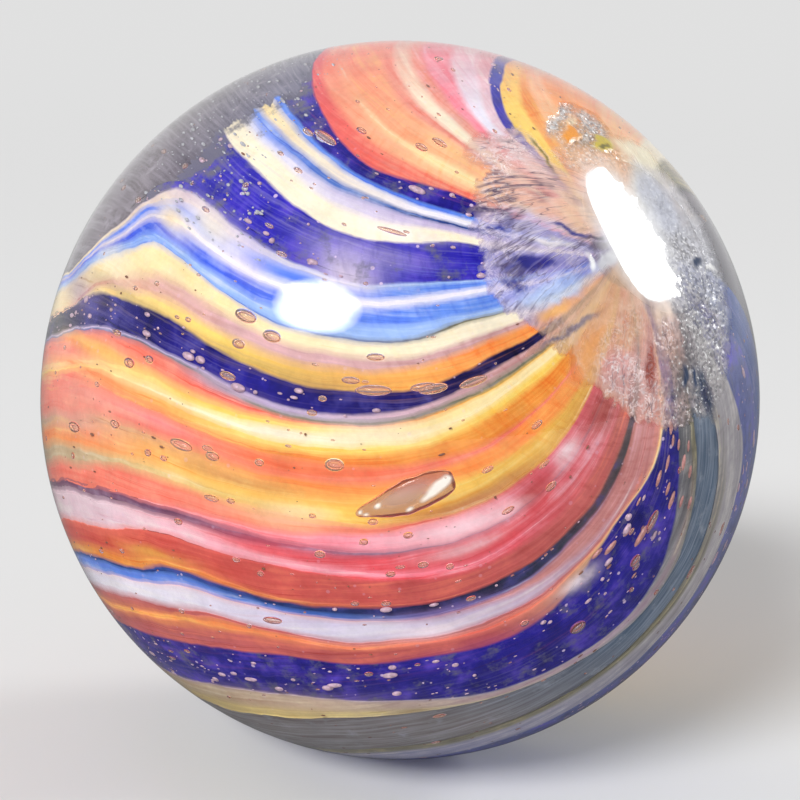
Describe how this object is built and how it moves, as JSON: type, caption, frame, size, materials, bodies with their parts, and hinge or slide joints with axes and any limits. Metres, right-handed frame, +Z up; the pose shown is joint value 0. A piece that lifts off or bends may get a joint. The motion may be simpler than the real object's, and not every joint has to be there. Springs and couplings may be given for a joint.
{
  "type": "glass marble",
  "caption": "Clear glass ball with twisted strands of coloured glass just under its surface and a small ground flat where it was broken off its rod.",
  "frame": {"origin": "centre of the ball", "axes": "+Z up from the ring or dimple that the ball sits in; the ground flat faces +X, -Y and up, and -Y is the side that a viewer sees"},
  "size_m": [0.019, 0.019, 0.019],
  "materials": {
    "clear_glass": "clear, with seeds, fire polished; ground matt at the pontil",
    "cobalt_glass": "dark transparent blue",
    "navy_glass": "nearly black blue",
    "sky_glass": "blue streaked with white",
    "white_glass": "milky white",
    "cream_glass": "milky cream",
    "yellow_glass": "opaque yellow",
    "orange_glass": "opaque orange",
    "coral_glass": "opaque coral red",
    "red_glass": "opaque red",
    "pink_glass": "milky rose",
    "violet_glass": "dark violet"
  },
  "bodies": {
    "root": {"clear_glass": "clear_glass", "cobalt_strands": "cobalt_glass", "navy_strands": "navy_glass", "sky_strands": "sky_glass", "white_strands": "white_glass", "cream_strands": "cream_glass", "yellow_strands": "yellow_glass", "orange_strands": "orange_glass", "coral_strands": "coral_glass", "red_strands": "red_glass", "pink_strands": "pink_glass", "violet_strands": "violet_glass"}
  },
  "joints": []
}
